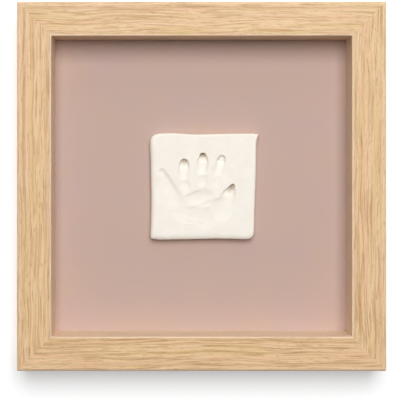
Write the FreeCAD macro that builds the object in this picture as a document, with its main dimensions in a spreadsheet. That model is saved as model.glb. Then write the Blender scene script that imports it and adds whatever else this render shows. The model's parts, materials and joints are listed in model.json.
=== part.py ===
# Deep square wall frame of foil-wrapped moulding. It shows a hand-cut clay tile with a
# baby's handprint, raised on foam pads in front of a plain card.
# Frame of the part: +Z up, the display faces -Y, X runs across. The origin is the middle of
# the bottom rail's underside, halfway through the depth of the rails.
import FreeCAD, Part
import math
import os
import re
import Sketcher

# Driving sizes in millimetres and angles in degrees, piece by piece.
sizes = {
    # moulding
    "frameWidth": 300.0,
    "frameHeight": 300.0,
    "railWidth": 28.0,
    "recessDepth": 30.0,
    "rebateWidth": 3.5,
    "mitreGap": 0.02,
    "outerArris": 2.0,
    "innerArris": 0.9,
    "rearArris": 0.6,
    # card and back panel, slid into the rebate from behind
    "insertClearance": 0.5,
    "cardThickness": 2.0,
    "panelThickness": 3.0,
    "panelClearance": 0.2,
    "panelChamfer": 0.4,
    # corner nails
    "nailLeg": 5.0,
    "nailThickness": 0.6,
    "nailDepth": 9.0,
    "nailSink": 0.2,
    "nailClearance": 0.06,
    "nailInset": 6.5,
    "nailPitch": 10.0,
    # clay tile
    "tileWidth": 87.0,
    "tileHeight": 88.0,
    "tileThickness": 9.0,
    "tileRight": 2.05,
    "tileDrop": 0.9,
    "tileArris": 0.9,
    "tileBow": 0.7,
    "tileCornerFlare": 2.7,
    "tileWornCorner": 5.0,
    "tileCutCorner": 4.0,
    # print pressed into the clay
    "handLength": 64.0,
    "printRight": 0.5,
    "printRise": 0.8,
    "digitRadius": 4.9,
    "tipDepth": 4.6,
    "rootDepth": 1.0,
    "palmRadius": 22.5,
    "palmDepth": 0.9,
    "creaseDepth": 1.3,
    "creaseWidth": 1.6,
    # foam pads between tile and card
    "padWidth": 12.0,
    "padThickness": 1.0,
    "padInset": 17.5,
    # turn buttons on the back
    "buttonWidth": 9.0,
    "buttonReach": 15.5,
    "buttonThickness": 1.0,
    "buttonClearance": 0.15,
    "buttonPivotInset": 8.0,
    "buttonPitch": 140.0,
    "buttonHoleClearance": 0.1,
    "toeLength": 4.0,
    "toeLift": 1.3,
    # wood screws
    "screwShank": 3.0,
    "screwHead": 6.0,
    "screwHeadHeight": 1.8,
    "screwLength": 12.0,
    "driveWidth": 0.9,
    "driveSpan": 3.2,
    "driveDepth": 1.0,
    "pilotClearance": 0.1,
    # keyhole hanger
    "plateLength": 46.0,
    "plateHeight": 21.0,
    "plateThickness": 1.2,
    "plateCorner": 5.0,
    "plateScrewPitch": 34.0,
    "keyholeDiameter": 9.5,
    "keySlotWidth": 4.5,
    "keyTravel": 7.0,
    "pocketMargin": 0.75,
    "pocketDepth": 8.0,
    # wall bumpers
    "bumperDiameter": 12.0,
    "bumperHeight": 4.0,
    "bumperInset": 12.0,
    "bumperEndInset": 30.0,
    # how far a cutter stands out of what it cuts
    "overrun": 2.0,
}

# Sizes that follow from the driving ones.
derived = {
    "railDepth": "recessDepth + cardThickness + panelThickness + panelClearance",
    "front": "-railDepth / 2",
    "back": "railDepth / 2",
    "cardFront": "front + recessDepth",
    "insertWidth": "frameWidth - 2 * (railWidth - rebateWidth + insertClearance)",
    "insertHeight": "frameHeight - 2 * (railWidth - rebateWidth + insertClearance)",
    "backFaceWidth": "railWidth - rebateWidth",
    "pilotDiameter": "screwShank + 2 * pilotClearance",
    "buttonSeat": "back + buttonClearance",
    "buttonScrewSeat": "buttonSeat + buttonThickness + buttonClearance",
    "buttonPivotDrop": "backFaceWidth - buttonPivotInset",
    "plateDrop": "backFaceWidth / 2",
    "keySlotDrop": "plateDrop - keyTravel / 2",
    "keyholeDrop": "plateDrop + keyTravel / 2",
    "pocketWidth": "keyholeDiameter + 2 * pocketMargin",
}

# The four sides as (name, turn about Y, length of the rail, distance from the middle, places of
# its turn buttons). The top pair leaves room for the hanger between them.
pair = [("_a", "-buttonPitch / 2"), ("_b", "buttonPitch / 2")]
sides = [
    ("top", 0, "frameWidth", "frameHeight / 2", pair),
    ("right", 90, "frameHeight", "frameWidth / 2", [("", "0")]),
    ("bottom", 180, "frameWidth", "frameHeight / 2", pair),
    ("left", 270, "frameHeight", "frameWidth / 2", [("", "0")]),
]

# Digits as (root across, root up, tip across, tip up, thickness), in shares of the hand's
# length from the middle finger's root, and of the digit's radius.
digitShares = {
    "Index": (0.165, -0.060, 0.238, 0.392, 0.88),
    "Middle": (-0.028, -0.040, 0.000, 0.428, 1.02),
    "Ring": (-0.230, -0.090, -0.256, 0.350, 0.94),
    "Little": (-0.350, -0.150, -0.585, 0.215, 0.88),
    "Thumb": (0.180, -0.260, 0.408, 0.030, 1.10),
}

# Creases as (centre across, centre up, radius, middle angle from up, sweep), in shares of the
# hand's length, and in degrees.
creaseShares = {
    "RootCrease": (0.010, -0.480, 0.470, -4.0, 52.0),
    "MiddleCrease": (-0.010, -0.300, 0.450, 0.0, 18.0),
    "ThumbCrease": (0.470, -0.900, 0.860, -28.0, 38.0),
    "HeelCrease": (-0.060, 0.060, 0.560, 178.0, 34.0),
}
palmShares = (-0.020, -0.330)

# Half outline of a digit from root to tip, as (thickness, height) in shares of its radius and of
# its length. It swells at the three pads and narrows at the two joints.
digitOutlineShares = [
    (0.80, 0.06), (1.00, 0.22), (0.88, 0.35), (0.88, 0.60), (1.00, 0.78), (0.72, 0.95)]

document = FreeCAD.newDocument("HandprintFrame")
sheet = document.addObject("Spreadsheet::Sheet", "Sizes")
for row, (name, amount) in enumerate(sizes.items(), start=1):
    sheet.set(f"A{row}", name)
    sheet.set(f"B{row}", str(amount))
    sheet.setAlias(f"B{row}", name)
document.recompute()


def tied(rule):
    """Turn a rule in plain size names into an expression on the sheet's cells."""
    def swap(match):
        word = match.group(0)
        if word in derived:
            return "(" + tied(derived[word]) + ")"
        return "Sizes." + word if word in sizes else word
    return re.sub(r"[A-Za-z]\w*", swap, str(rule))


def amountOf(rule):
    amount = sheet.evalExpression(tied(rule))
    return float(getattr(amount, "Value", amount))


def newBody(label):
    body = document.addObject("PartDesign::Body", label.title().replace("_", ""))
    body.Label = label
    return body


def place(item, x, y, z, turn=0):
    """Turn a piece about Y and tie its place to the sheet."""
    turned = FreeCAD.Rotation(FreeCAD.Vector(0, 1, 0), turn)
    item.Placement = FreeCAD.Placement(FreeCAD.Vector(), turned)
    for axis, rule in (("x", x), ("y", y), ("z", z)):
        item.setExpression(f"Placement.Base.{axis}", tied(rule))


def placeOnSide(item, turn, along, y, out):
    """Place a piece on one side: along that side from its middle, and out from the frame's middle."""
    cosine = round(math.cos(math.radians(turn)))
    sine = round(math.sin(math.radians(turn)))
    place(item, f"({along}) * {cosine} + ({out}) * {sine}", y,
          f"({out}) * {cosine} - ({along}) * {sine} + frameHeight / 2", turn)


def newSketch(body, name, plane, lift="0"):
    """Add a sketch on one of the body's own planes, lifted along that plane's normal."""
    sketch = body.newObject("Sketcher::SketchObject", name)
    support = [part for part in body.Origin.OriginFeatures if part.Role == plane][0]
    sketch.AttachmentSupport = [(support, "")]
    sketch.MapMode = "FlatFace"
    sketch.setExpression("AttachmentOffset.Base.z", tied(lift))
    return sketch


def fixPoint(sketch, geometry, end, x, y):
    for kind, rule in (("DistanceX", x), ("DistanceY", y)):
        index = sketch.addConstraint(
            Sketcher.Constraint(kind, -1, 1, geometry, end, amountOf(rule)))
        sketch.setExpression(f"Constraints[{index}]", tied(rule))


def fixRadius(sketch, geometry, rule):
    index = sketch.addConstraint(Sketcher.Constraint("Radius", geometry, amountOf(rule)))
    sketch.setExpression(f"Constraints[{index}]", tied(rule))


def pointAt(x, y):
    return FreeCAD.Vector(amountOf(x), amountOf(y), 0)


def addOutline(sketch, corners, bows=None):
    """Draw a closed outline through (x, y) corners. A side with a bow is an arc that swells
    outwards, for corners given anticlockwise, by that much."""
    first = sketch.GeometryCount
    count = len(corners)
    for side in range(count):
        start = pointAt(*corners[side])
        end = pointAt(*corners[(side + 1) % count])
        if bows:
            along = end - start
            outward = FreeCAD.Vector(along.y, -along.x, 0).normalize()
            middle = (start + end) / 2 + outward * amountOf(bows[side])
            sketch.addGeometry(Part.Arc(start, middle, end), False)
        else:
            sketch.addGeometry(Part.LineSegment(start, end), False)
    for side in range(count):
        after = first + (side + 1) % count
        sketch.addConstraint(Sketcher.Constraint("Coincident", first + side, 2, after, 1))
    for side in range(count):
        fixPoint(sketch, first + side, 1, *corners[side])
        if bows:
            nextCorner = corners[(side + 1) % count]
            chord = (f"sqrt((({nextCorner[0]}) - ({corners[side][0]}))^2"
                     f" + (({nextCorner[1]}) - ({corners[side][1]}))^2)")
            fixRadius(sketch, first + side,
                      f"(({chord} / 2)^2 + ({bows[side]})^2) / (2 * ({bows[side]}))")


def addCircle(sketch, x, y, diameter):
    circle = Part.Circle(pointAt(x, y), FreeCAD.Vector(0, 0, 1), amountOf(diameter) / 2)
    geometry = sketch.addGeometry(circle, False)
    fixPoint(sketch, geometry, 3, x, y)
    fixRadius(sketch, geometry, f"({diameter}) / 2")


def addRectangle(sketch, left, bottom, right, top):
    addOutline(sketch, [(left, bottom), (right, bottom), (right, top), (left, top)])


def addUprightSlot(sketch, x, lower, upper, width):
    """Draw a slot with round ends, centred at two heights."""
    radius = amountOf(width) / 2
    normal = FreeCAD.Vector(0, 0, 1)
    low = pointAt(x, lower)
    high = pointAt(x, upper)
    side = FreeCAD.Vector(radius, 0, 0)
    top = sketch.addGeometry(
        Part.ArcOfCircle(Part.Circle(high, normal, radius), 0, math.pi), False)
    foot = sketch.addGeometry(
        Part.ArcOfCircle(Part.Circle(low, normal, radius), math.pi, 2 * math.pi), False)
    left = sketch.addGeometry(Part.LineSegment(high - side, low - side), False)
    right = sketch.addGeometry(Part.LineSegment(low + side, high + side), False)
    for one, oneEnd, other, otherEnd in (
            (top, 2, left, 1), (left, 2, foot, 1), (foot, 2, right, 1), (right, 2, top, 1)):
        sketch.addConstraint(Sketcher.Constraint("Tangent", one, oneEnd, other, otherEnd))
    fixPoint(sketch, top, 3, x, upper)
    fixPoint(sketch, foot, 3, x, lower)
    fixRadius(sketch, top, f"({width}) / 2")


def pad(body, sketch, length, both=False, reverse=False):
    feature = body.newObject("PartDesign::Pad", sketch.Name + "Pad")
    feature.Profile = sketch
    feature.setExpression("Length", tied(length))
    feature.SideType = "Symmetric" if both else "One side"
    feature.Reversed = reverse
    document.recompute()
    return feature


nearness = 0.001       # how near to a place an edge has to lie
minimumCut = 0.01      # how much a cut has to take away


def checkCut(feature, before):
    """Stop if a cut took nothing away."""
    document.recompute()
    if feature.Shape.isNull() or feature.Shape.Volume > before - minimumCut:
        raise ValueError(f"{feature.Label} cuts nothing")
    return feature


def pocket(body, sketch, depth=None):
    """Cut a sketch to a depth from the rear, towards -Y, or right through both ways."""
    before = body.Shape.Volume
    feature = body.newObject("PartDesign::Pocket", sketch.Name + "Pocket")
    feature.Profile = sketch
    if depth is None:
        feature.Type = "ThroughAll"
        feature.SideType = "Symmetric"
    else:
        feature.setExpression("Length", tied(depth))
        feature.Reversed = True
    return checkCut(feature, before)


def groove(body, sketch, axis, angle=360.0):
    before = body.Shape.Volume
    feature = body.newObject("PartDesign::Groove", sketch.Name + "Groove")
    feature.Profile = sketch
    feature.ReferenceAxis = (sketch, [axis])
    feature.Angle = angle
    feature.Midplane = angle < 360.0
    return checkCut(feature, before)


def revolve(body, sketch, axis="V_Axis"):
    feature = body.newObject("PartDesign::Revolution", sketch.Name + "Revolution")
    feature.Profile = sketch
    feature.ReferenceAxis = (sketch, [axis])
    feature.Angle = 360.0
    document.recompute()
    return feature


def roundEdges(body, base, radius, chosen, kind="Fillet"):
    """Round or chamfer the edges of a feature for which chosen(edge) holds."""
    names = [f"Edge{number}" for number, edge in enumerate(base.Shape.Edges, start=1)
             if chosen(edge)]
    feature = body.newObject("PartDesign::" + kind, base.Name + kind)
    feature.Base = (base, names)
    feature.setExpression("Radius" if kind == "Fillet" else "Size", tied(radius))
    document.recompute()
    return feature


def runsAt(**places):
    """Make a test for edges whose ends both lie at the given places."""
    def chosen(edge):
        return all(abs(getattr(vertex.Point, key) - amountOf(rule)) < nearness
                   for vertex in edge.Vertexes for key, rule in places.items())
    return chosen


def makeRail(side, turn, length, out, buttonPlaces):
    """One moulding length, mitred at both ends, modelled as the top rail and turned to its side."""
    body = newBody("rail_" + side)
    inner = f"{out} - railWidth"
    section = newSketch(body, side.title() + "Section", "YZ_Plane")
    addOutline(section, [
        ("front", inner), ("cardFront", inner), ("cardFront", f"{inner} + rebateWidth"),
        ("back", f"{inner} + rebateWidth"), ("back", out), ("front", out)])
    moulding = pad(body, section, length, both=True)
    rounded = roundEdges(body, moulding, "outerArris", runsAt(y="front", z=out))
    rounded = roundEdges(body, rounded, "innerArris", runsAt(y="front", z=inner))
    roundEdges(body, rounded, "rearArris", runsAt(y="back", z=out), kind="Chamfer")

    mitres = newSketch(body, side.title() + "Mitres", "XZ_Plane")
    corner = f"({length} / 2 - mitreGap / sqrt(2))"
    for hand in (1, -1):
        addOutline(mitres, [
            (f"{hand} * ({corner} + overrun)", f"{out} + overrun"),
            (f"{hand} * ({corner} - railWidth - overrun)", f"{inner} - overrun"),
            (f"{hand} * ({corner} + overrun)", f"{inner} - overrun")])
    pocket(body, mitres)

    # Two slots at each end take half of each corner nail.
    slots = newSketch(body, side.title() + "NailSlots", "XZ_Plane", "-back")
    for hand in (1, -1):
        for row in range(2):
            inset = f"(nailInset + {row} * nailPitch)"
            ends = sorted((f"{hand} * ({length} / 2 - {inset} - nailLeg - nailClearance)",
                           f"{hand} * ({length} / 2 - {inset} + overrun)"), key=amountOf)
            half = "(nailThickness / 2 + nailClearance)"
            addRectangle(slots, ends[0], f"{out} - {inset} - {half}",
                         ends[1], f"{out} - {inset} + {half}")
    pocket(body, slots, "nailSink + nailDepth + nailClearance")

    pilots = newSketch(body, side.title() + "Pilots", "XZ_Plane", "-back")
    for _, along in buttonPlaces:
        addCircle(pilots, along, f"{out} - buttonPivotDrop", "pilotDiameter")
    pocket(body, pilots, "screwLength + pilotClearance")

    if side == "top":
        hangerCuts = newSketch(body, "HangerPocket", "XZ_Plane", "-back")
        addUprightSlot(hangerCuts, "0", f"{out} - keyholeDrop", f"{out} - keySlotDrop", "pocketWidth")
        pocket(body, hangerCuts, "pocketDepth")
        hangerPilots = newSketch(body, "HangerPilots", "XZ_Plane", "-back")
        for hand in (1, -1):
            addCircle(hangerPilots, f"{hand} * plateScrewPitch / 2", f"{out} - plateDrop",
                      "pilotDiameter")
        pocket(body, hangerPilots, "screwLength + pilotClearance")
    place(body, "0", "0", "frameHeight / 2", turn)
    return body


def makeSheet(label, thickness, rear):
    """A flat square insert that lies in the rebate."""
    body = newBody(label)
    outline = newSketch(body, body.Name + "Outline", "XZ_Plane")
    addRectangle(outline, "-insertWidth / 2", "-insertHeight / 2", "insertWidth / 2", "insertHeight / 2")
    slab = pad(body, outline, thickness, reverse=True)
    place(body, "0", f"{rear} - {thickness}", "frameHeight / 2")
    return body, slab


def makeBackPanel():
    """The hardboard back, its rear edges eased so that it slips into the rebate."""
    body, slab = makeSheet("back_panel", "panelThickness", "back - panelClearance")
    roundEdges(body, slab, "panelChamfer", runsAt(y="panelThickness"), kind="Chamfer")
    return body


def makeTile():
    """The clay tile: a hand-cut slab with uneven sides, and a baby's handprint sunk in it."""
    body = newBody("clay_tile")
    right = "tileWidth / 2"
    top = "tileHeight / 2"
    outline = newSketch(body, "TileOutline", "XZ_Plane")
    # Anticlockwise from the sharp lower left corner, past the cut, the flared and the worn one.
    addOutline(outline, [
        (f"-{right} - tileBow", f"-{top}"),
        (f"{right} - tileBow - tileCutCorner", f"-{top} + tileBow"),
        (f"{right} - tileBow", f"-{top} + tileBow + tileCutCorner"),
        (f"{right} + tileCornerFlare", f"{top} - tileBow"),
        (f"-{right} + tileWornCorner", top),
        (f"-{right}", f"{top} - tileWornCorner")],
        ["tileBow", "tileCutCorner / 4", "tileBow / 2", "tileBow / 2", "tileWornCorner / 4", "tileBow"])
    slab = pad(body, outline, "tileThickness")
    roundEdges(body, slab, "tileArris", runsAt(y="-tileThickness"), kind="Chamfer")

    # The palm is a shallow dish with a steeper rim, turned about an axis square to the tile.
    across, up = palmShares
    palm = newPrintSketch(body, "Palm", across, up, 0)
    addOutline(palm, [("-overrun", "0"), ("palmDepth", "0"), ("palmDepth * 0.8", "palmRadius * 0.7"),
                      ("0", "palmRadius"), ("-overrun", "palmRadius")])
    groove(body, palm, "H_Axis")
    for name, shares in digitShares.items():
        cutDigit(body, name, *shares)
    for name, shares in creaseShares.items():
        cutCrease(body, name, *shares)
    place(body, "tileRight", "cardFront - padThickness", "frameHeight / 2 - tileDrop")
    return body


def newPrintSketch(body, name, across, up, lean, dip=0, sink="0"):
    """Add an upright sketch at a point of the print, leaned about Y and then dipped into the clay.
    Its own axes then point into the clay and up."""
    sketch = newSketch(body, name, "YZ_Plane")
    leaned = FreeCAD.Rotation(FreeCAD.Vector(0, 1, 0), lean)
    dipped = FreeCAD.Rotation(FreeCAD.Vector(1, 0, 0), dip)
    plane = FreeCAD.Rotation(FreeCAD.Vector(1, 1, 1), 120)
    sketch.AttachmentOffset = FreeCAD.Placement(
        FreeCAD.Vector(), plane.inverted() * leaned * dipped * plane)
    for axis, rule in (("x", f"{sink} - tileThickness"),
                       ("y", f"printRise + ({up}) * handLength"),
                       ("z", f"printRight + ({across}) * handLength")):
        sketch.setExpression(f"AttachmentOffset.Base.{axis}", tied(rule))
    return sketch


def cutDigit(body, name, rootAcross, rootUp, tipAcross, tipUp, thickness):
    """Sink one digit: a finger form turned about an axis that dips towards the fingertip."""
    radius = f"({thickness} * digitRadius)"
    stretch = math.hypot(tipAcross - rootAcross, tipUp - rootUp)
    reach = f"({stretch} * handLength)"
    dip = f"atan2(tipDepth - rootDepth; {reach})"
    lean = math.degrees(math.atan2(tipAcross - rootAcross, tipUp - rootUp))
    sketch = newPrintSketch(body, name, rootAcross, rootUp, lean, -amountOf(dip),
                            f"rootDepth - {radius}")
    length = f"({reach} / cos({dip}))"
    corners = [("0", "0"), ("0", length)]
    corners[1:1] = [(f"{wide} * {radius}", f"{high} * {length}") for wide, high in digitOutlineShares]
    addOutline(sketch, corners)
    groove(body, sketch, "V_Axis")


def cutCrease(body, name, across, up, radius, middle, sweep):
    """Sink one skin crease: a wedge swept about an axis square to the tile."""
    sketch = newPrintSketch(body, name, across, up, middle)
    away = f"({radius} * handLength)"
    half = "(creaseWidth / 2 * (creaseDepth + overrun) / creaseDepth)"
    addOutline(sketch, [("creaseDepth", away), ("-overrun", f"{away} + {half}"),
                        ("-overrun", f"{away} - {half}")])
    groove(body, sketch, "H_Axis", sweep)


def makePad(number, across, up):
    """One square of foam tape between the tile and the card."""
    body = newBody(f"foam_pad_{number}")
    outline = newSketch(body, body.Name + "Outline", "XZ_Plane")
    addRectangle(outline, "-padWidth / 2", "-padWidth / 2", "padWidth / 2", "padWidth / 2")
    pad(body, outline, "padThickness")
    place(body, f"tileRight + {across} * (tileWidth / 2 - padInset)", "cardFront",
          f"frameHeight / 2 - tileDrop + {up} * (tileHeight / 2 - padInset)")
    return body


def makeTurnButton(label, turn, along, out):
    """A pressed steel button with its toe bent up, pivoted at its round heel."""
    body = newBody(label)
    profile = newSketch(body, body.Name + "Profile", "YZ_Plane")
    bend = "(buttonReach - toeLength)"
    addOutline(profile, [
        ("0", "buttonWidth / 2"), ("0", f"-{bend}"), ("toeLift", "-buttonReach"),
        ("toeLift + buttonThickness", "-buttonReach"), ("buttonThickness", f"-{bend}"),
        ("buttonThickness", "buttonWidth / 2")])
    pad(body, profile, "buttonWidth", both=True)
    trim = newSketch(body, body.Name + "Trim", "XZ_Plane")
    margin = "overrun"
    addRectangle(trim, f"-buttonWidth / 2 - {margin}", f"-buttonReach - {margin}",
                 f"buttonWidth / 2 + {margin}", f"buttonWidth / 2 + {margin}")
    addUprightSlot(trim, "0", "-buttonReach + buttonWidth / 2", "0", "buttonWidth")
    pocket(body, trim)
    hole = newSketch(body, body.Name + "Hole", "XZ_Plane")
    addCircle(hole, "0", "0", "screwShank + 2 * buttonHoleClearance")
    pocket(body, hole)
    placeOnSide(body, turn, along, "buttonSeat", f"{out} - buttonPivotDrop")
    return body


def makeScrew(name):
    """A pan-head wood screw with a cross drive. Its seat is at y = 0 and it points to -Y."""
    body = newBody(name)
    half = newSketch(body, body.Name + "Half", "XY_Plane")
    addOutline(half, [
        ("0", "-screwLength"), ("screwShank / 2", "-screwLength"), ("screwShank / 2", "0"),
        ("screwHead / 2", "0"), ("screwHead / 2", "screwHeadHeight"), ("0", "screwHeadHeight")])
    revolve(body, half)
    cross = newSketch(body, body.Name + "Drive", "XZ_Plane", "-screwHeadHeight")
    wide = "driveSpan / 2"
    slim = "driveWidth / 2"
    quarter = [(wide, f"-{slim}"), (wide, slim), (slim, slim)]
    corners = []
    for step in range(4):
        corners += quarter
        quarter = [(f"-({z})", x) for x, z in quarter]
    addOutline(cross, corners)
    pocket(body, cross, "driveDepth")
    return body


def makeNail():
    """A bent steel corner nail: two legs square to each other, one in each rail."""
    body = newBody("corner_nail_master")
    outline = newSketch(body, "NailOutline", "XZ_Plane")
    half = "nailThickness / 2"
    addOutline(outline, [
        (half, half), ("-nailLeg", half), ("-nailLeg", f"-{half}"), (f"-{half}", f"-{half}"),
        (f"-{half}", "-nailLeg"), (half, "-nailLeg")])
    pad(body, outline, "nailDepth")
    return body


def group(label, master, places):
    """Repeat a piece at several places as one node. Each place is (turn, along, y, out)."""
    copies = []
    for number, (turn, along, y, out) in enumerate(places, start=1):
        copy = document.addObject("App::Link", f"{master.Name}Copy{label.title().replace('_', '')}{number}")
        copy.LinkedObject = master
        placeOnSide(copy, turn, along, y, out)
        copies.append(copy)
    compound = document.addObject("Part::Compound", label.title().replace("_", ""))
    compound.Links = copies
    compound.Label = label
    document.recompute()
    return compound


def makeHanger():
    """The keyhole plate over the pocket in the top rail: the wide hole below, the slot above it."""
    body = newBody("keyhole_hanger")
    outline = newSketch(body, "HangerOutline", "XZ_Plane")
    addRectangle(outline, "-plateLength / 2", "-plateHeight / 2", "plateLength / 2", "plateHeight / 2")
    slab = pad(body, outline, "plateThickness", reverse=True)

    def upright(edge):
        ends = [vertex.Point for vertex in edge.Vertexes]
        return abs(ends[1].y - ends[0].y) > nearness
    roundEdges(body, slab, "plateCorner", upright)
    slot = newSketch(body, "KeySlot", "XZ_Plane")
    addUprightSlot(slot, "0", "-keyTravel / 2", "keyTravel / 2", "keySlotWidth")
    pocket(body, slot)
    hole = newSketch(body, "KeyHole", "XZ_Plane")
    addCircle(hole, "0", "-keyTravel / 2", "keyholeDiameter")
    pocket(body, hole)
    screwHoles = newSketch(body, "HangerScrewHoles", "XZ_Plane")
    for hand in (1, -1):
        addCircle(screwHoles, f"{hand} * plateScrewPitch / 2", "0", "screwShank + 2 * buttonHoleClearance")
    pocket(body, screwHoles)
    place(body, "0", "back", "frameHeight - plateDrop")
    return body


def makeBumper(label, turn, along, out):
    """A soft round bumper that keeps the frame off the wall."""
    body = newBody(label)
    disc = newSketch(body, body.Name + "Disc", "XZ_Plane")
    addCircle(disc, "0", "0", "bumperDiameter")
    pad(body, disc, "bumperHeight", reverse=True)
    placeOnSide(body, turn, along, "back", f"{out} - bumperInset")
    return body


pieces = []
for side in sides:
    pieces.append(makeRail(*side))
pieces.append(makeSheet("mount_card", "cardThickness", "cardFront + cardThickness")[0])
pieces.append(makeBackPanel())
pieces.append(makeTile())
for number, (across, up) in enumerate([(-1, 1), (1, 1), (1, -1), (-1, -1)], start=1):
    pieces.append(makePad(number, across, up))

nailPlaces = []
buttonScrewPlaces = []
for side, turn, length, out, buttonPlaces in sides:
    for row in range(2):
        inset = f"(nailInset + {row} * nailPitch)"
        nailPlaces.append((turn, f"{length} / 2 - {inset}", "back - nailSink", f"{out} - {inset}"))
    for end, along in buttonPlaces:
        pieces.append(makeTurnButton(f"turn_button_{side}{end}", turn, along, out))
        buttonScrewPlaces.append((turn, along, "buttonScrewSeat", f"{out} - buttonPivotDrop"))
nail = makeNail()
pieces.append(group("corner_nails", nail, nailPlaces))
screw = makeScrew("wood_screw_master")
pieces.append(group("button_screws", screw, buttonScrewPlaces))

pieces.append(makeHanger())
topOut = sides[0][3]
pieces.append(group("hanger_screws", screw, [
    (0, f"{hand} * plateScrewPitch / 2", "back + plateThickness", f"{topOut} - plateDrop")
    for hand in (-1, 1)]))
for side, turn, length, out, _ in sides:
    if side in ("top", "bottom"):
        for hand, end in ((-1, "a"), (1, "b")):
            along = f"{hand} * ({length} / 2 - bumperEndInset)"
            pieces.append(makeBumper(f"bumper_{side}_{end}", turn, along, out))
document.recompute()

for item in document.Objects:
    if {"Invalid", "Error"} & set(item.State):
        raise ValueError(f"{item.Label} failed: {item.State}")
os.makedirs("parts", exist_ok=True)
for piece in pieces:
    if piece.Shape.isNull() or not piece.Shape.isValid():
        raise ValueError(f"{piece.Label} has no valid shape")
for piece in pieces:
    piece.Shape.exportStep(f"parts/{piece.Label}.step")
    print(f"{piece.Label}: {len(piece.Shape.Solids)} solid(s), {piece.Shape.Volume / 1000:.2f} cm3")
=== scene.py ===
import bpy
import json
import math
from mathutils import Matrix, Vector, noise


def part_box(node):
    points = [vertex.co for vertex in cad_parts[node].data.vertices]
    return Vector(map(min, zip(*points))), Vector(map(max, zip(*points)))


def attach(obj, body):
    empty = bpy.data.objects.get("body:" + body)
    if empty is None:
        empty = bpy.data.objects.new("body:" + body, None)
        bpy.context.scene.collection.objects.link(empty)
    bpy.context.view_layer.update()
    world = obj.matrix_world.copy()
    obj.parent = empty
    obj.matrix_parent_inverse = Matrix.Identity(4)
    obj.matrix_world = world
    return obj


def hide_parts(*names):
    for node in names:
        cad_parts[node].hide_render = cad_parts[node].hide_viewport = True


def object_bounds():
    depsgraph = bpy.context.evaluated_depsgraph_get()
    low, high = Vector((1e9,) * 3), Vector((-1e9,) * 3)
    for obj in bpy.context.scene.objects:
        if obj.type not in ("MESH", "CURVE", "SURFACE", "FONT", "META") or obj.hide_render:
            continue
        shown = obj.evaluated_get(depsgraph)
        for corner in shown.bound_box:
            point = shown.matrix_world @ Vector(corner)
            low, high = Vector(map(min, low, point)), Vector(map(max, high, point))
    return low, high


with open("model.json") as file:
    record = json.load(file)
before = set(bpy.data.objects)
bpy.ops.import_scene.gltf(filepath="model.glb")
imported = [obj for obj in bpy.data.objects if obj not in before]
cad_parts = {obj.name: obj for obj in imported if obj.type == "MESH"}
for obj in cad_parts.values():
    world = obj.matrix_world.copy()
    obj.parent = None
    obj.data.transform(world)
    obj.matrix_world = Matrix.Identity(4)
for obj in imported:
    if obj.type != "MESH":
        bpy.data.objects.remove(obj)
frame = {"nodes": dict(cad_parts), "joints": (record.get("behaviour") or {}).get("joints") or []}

mm = 0.001
hair = 1e-6         # metres: what lies closer is at the same place
cadLow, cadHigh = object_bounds()
print("frame loaded")

# places that the rest of the scene is worked out from
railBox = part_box("rail_top")
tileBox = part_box("clay_tile")
frontY = railBox[0].y
middle = Vector((0, (railBox[0].y + railBox[1].y) / 2, cadHigh[2] / 2))


# colour and node helpers
def fromHex(hexColour):
    # sRGB hex to the linear colour that the nodes take
    channels = [int(hexColour[i:i + 2], 16) / 255 for i in (1, 3, 5)]
    linear = [c / 12.92 if c <= 0.04045 else ((c + 0.055) / 1.055) ** 2.4 for c in channels]
    return (*linear, 1)


def addNode(tree, kind, links=None, stops=(), **settings):
    # links are sockets or plain values by the input's name or number, stops are a colour ramp's
    node = tree.nodes.new(kind)
    for name, amount in settings.items():
        setattr(node, name, amount)
    for name, source in (links or {}).items():
        if isinstance(source, bpy.types.NodeSocket):
            tree.links.new(source, node.inputs[name])
        else:
            node.inputs[name].default_value = source
    for index, (spot, colour) in enumerate(stops):
        element = node.color_ramp.elements[index] if index < 2 else node.color_ramp.elements.new(spot)
        element.position, element.color = spot, colour
    return node


def newMaterial(name, **settings):
    # also gives the place on the object in millimetres, which the patterns read
    material = bpy.data.materials.new(name)
    material.use_nodes = True
    tree = material.node_tree
    shader = tree.nodes["Principled BSDF"]
    for socket, amount in settings.items():
        shader.inputs[socket.replace("_", " ")].default_value = amount
    place = addNode(tree, "ShaderNodeMapping", {"Vector": addNode(tree, "ShaderNodeTexCoord").outputs["Object"],
                                                "Scale": (1 / mm, 1 / mm, 1 / mm)}).outputs["Vector"]
    return material, tree, shader, place


def dress(node, material):
    mesh = frame["nodes"][node].data if isinstance(node, str) else node.data
    mesh.materials.clear()
    mesh.materials.append(material)


# camera: square on to the wall, a little left of and above the frame's middle
cameraPlan = {
    "distance": 852 * mm,      # from the front of the frame
    "left": 26 * mm,           # of the frame's middle
    "above": 26 * mm,          # the frame's middle
    "lens": 94.55,
    "sensorWidth": 36,
    "nearest": 10 * mm,
    "shiftX": 0.076,
    "shiftY": -0.1144,
}


def addCamera():
    data = bpy.data.cameras.new("camera")
    data.lens = cameraPlan["lens"]
    data.sensor_width = cameraPlan["sensorWidth"]
    data.shift_x = cameraPlan["shiftX"]
    data.shift_y = cameraPlan["shiftY"]
    data.clip_start = cameraPlan["nearest"]
    camera = bpy.data.objects.new("camera", data)
    camera.location = (-cameraPlan["left"], frontY - cameraPlan["distance"], middle.z + cameraPlan["above"])
    camera.rotation_euler = (math.radians(90), 0, 0)
    bpy.context.scene.collection.objects.link(camera)
    bpy.context.scene.camera = camera


addCamera()


# wall, floor and light
stagePlan = {
    "wallGap": 0.3 * mm,           # behind the bumpers
    "floorDrop": 60 * mm,          # below the frame
    "stageSize": 3.0,
    "wallColour": "#F4F4F4",
    "wallGlow": 0.26,              # what the camera sees of the wall where no light falls, where 1 is white
    "floorColour": "#F4F3F1",
}


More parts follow.
